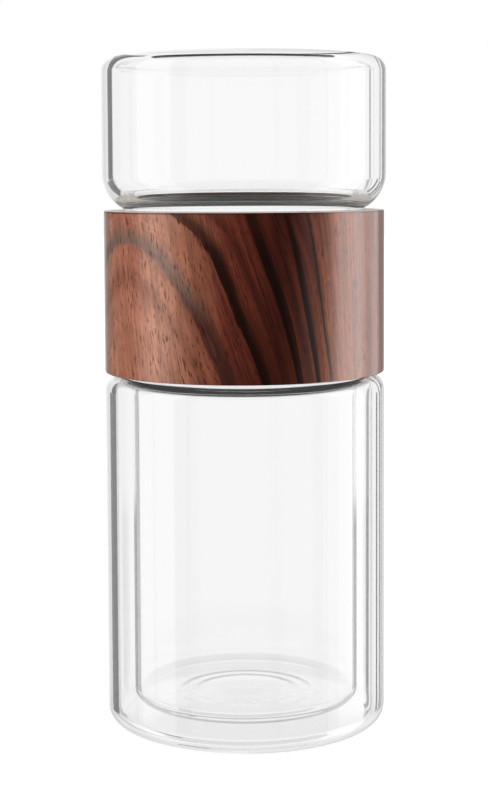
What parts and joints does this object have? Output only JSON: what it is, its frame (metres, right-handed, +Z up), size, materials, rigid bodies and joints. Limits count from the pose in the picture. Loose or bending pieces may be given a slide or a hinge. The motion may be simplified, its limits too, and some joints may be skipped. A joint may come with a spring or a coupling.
{
  "type": "glass tea flask",
  "caption": "Double-wall glass tea flask with a polished wood-grain collar that holds a strainer, and a screw-on glass brew cup as its top.",
  "frame": {"origin": "middle of the flask's base, on the table", "axes": "+Z up along the flask's axis; the flask is round, so +X and +Y are free"},
  "size_m": [0.0768, 0.0768, 0.1808],
  "materials": {
    "jacket_glass": "clear, fire-polished",
    "liner_glass": "clear, fire-polished",
    "cup_glass": "clear, fire-polished",
    "rosewood": "lacquered dark-streaked grain",
    "moulded_core": "moulded satin",
    "silicone": "translucent matte",
    "steel": "brushed"
  },
  "bodies": {
    "flask": {"outer_jacket": "jacket_glass", "inner_liner": "liner_glass", "seal_off_tip": "jacket_glass"},
    "lower_washer": {"lower_seal": "silicone"},
    "collar": {"collar_sleeve": "rosewood", "coupling_core": "moulded_core"},
    "strainer": {"strainer_grommet": "silicone", "strainer_rim": "steel", "strainer_dish": "steel"},
    "upper_washer": {"upper_seal": "silicone"},
    "cup": {"brew_cup": "cup_glass"}
  },
  "joints": [
    {"name": "collar_rise", "type": "slide", "parent": "flask", "child": "lower_washer", "axis": [0, 0, 1], "range_m": [0, 0.0192]},
    {"name": "collar_turn", "type": "hinge", "parent": "lower_washer", "child": "collar", "pos_m": [0, 0, 0.11785], "axis": [0, 0, 1], "range_deg": [0, 1080]},
    {"name": "cup_turn", "type": "hinge", "parent": "collar", "child": "upper_washer", "pos_m": [0, 0, 0.12035], "axis": [0, 0, 1], "range_deg": [0, 1080]},
    {"name": "cup_rise", "type": "slide", "parent": "upper_washer", "child": "cup", "axis": [0, 0, 1], "range_m": [0, 0.0192]},
    {"name": "strainer_lift", "type": "slide", "parent": "collar", "child": "strainer", "axis": [0, 0, 1], "range_m": [0, 0.025]}
  ],
  "couplings": [
    {"joint": "collar_rise", "follows": "collar_turn", "m_per_rad": 0.0010186},
    {"joint": "cup_rise", "follows": "cup_turn", "m_per_rad": 0.0010186}
  ]
}
